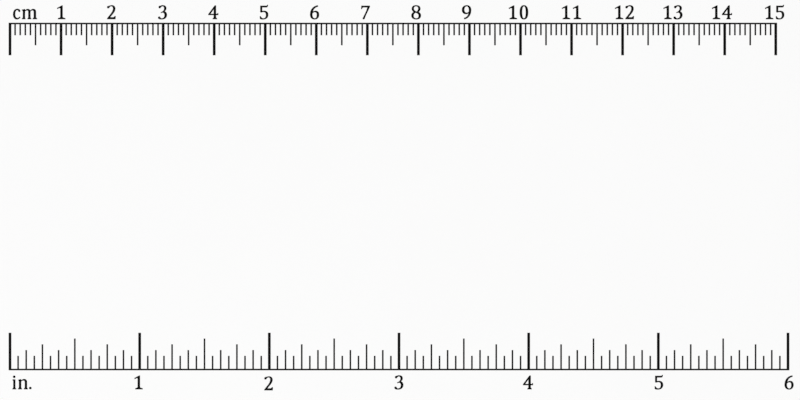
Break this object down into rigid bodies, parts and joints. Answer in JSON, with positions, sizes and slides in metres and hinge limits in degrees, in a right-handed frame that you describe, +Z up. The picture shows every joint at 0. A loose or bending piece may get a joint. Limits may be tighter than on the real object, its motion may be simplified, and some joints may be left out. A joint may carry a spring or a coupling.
{
  "type": "ruler",
  "caption": "Flat rectangular ruler plate with a centimetre scale along one long side and an inch scale along the other, black filled marks on white, rubber strips below",
  "frame": {"origin": "centre of the plate's outline, on the plane that the rubber ribs rest on", "axes": "+X runs along both scales from zero to the high numbers, +Y points across the plate to the centimetre side, +Z points up out of the graduated face"},
  "size_m": [0.16, 0.08, 0.0035],
  "materials": {
    "face": "even white, fine satin, with no grain or gloss streaks",
    "core": "light grey, lightly textured moulded plate",
    "marks": "dull black filling, a hair below the face",
    "grip": "dark grey ribbed rubber",
    "adhesive": "thin translucent film, seen only as a line between the layers"
  },
  "bodies": {
    "root": {"core_plate": "core", "face_adhesive": "adhesive", "face_sheet": "face", "cm_scale_fill": "marks", "inch_scale_fill": "marks", "cm_numeral_1": "marks", "cm_numeral_2": "marks", "cm_numeral_3": "marks", "cm_numeral_4": "marks", "cm_numeral_5": "marks", "cm_numeral_6": "marks", "cm_numeral_7": "marks", "cm_numeral_8": "marks", "cm_numeral_9": "marks", "cm_numeral_10_tens": "marks", "cm_numeral_10_ones": "marks", "cm_numeral_11_tens": "marks", "cm_numeral_11_ones": "marks", "cm_numeral_12_tens": "marks", "cm_numeral_12_ones": "marks", "cm_numeral_13_tens": "marks", "cm_numeral_13_ones": "marks", "cm_numeral_14_tens": "marks", "cm_numeral_14_ones": "marks", "cm_numeral_15_tens": "marks", "cm_numeral_15_ones": "marks", "inch_numeral_1": "marks", "inch_numeral_2": "marks", "inch_numeral_3": "marks", "inch_numeral_4": "marks", "inch_numeral_5": "marks", "inch_numeral_6": "marks", "cm_mark_c": "marks", "cm_mark_m": "marks", "inch_mark_i": "marks", "inch_mark_i_dot": "marks", "inch_mark_n": "marks", "inch_mark_point": "marks", "cm_side_grip": "grip", "inch_side_grip": "grip", "cm_side_grip_adhesive": "adhesive", "inch_side_grip_adhesive": "adhesive"}
  },
  "joints": []
}
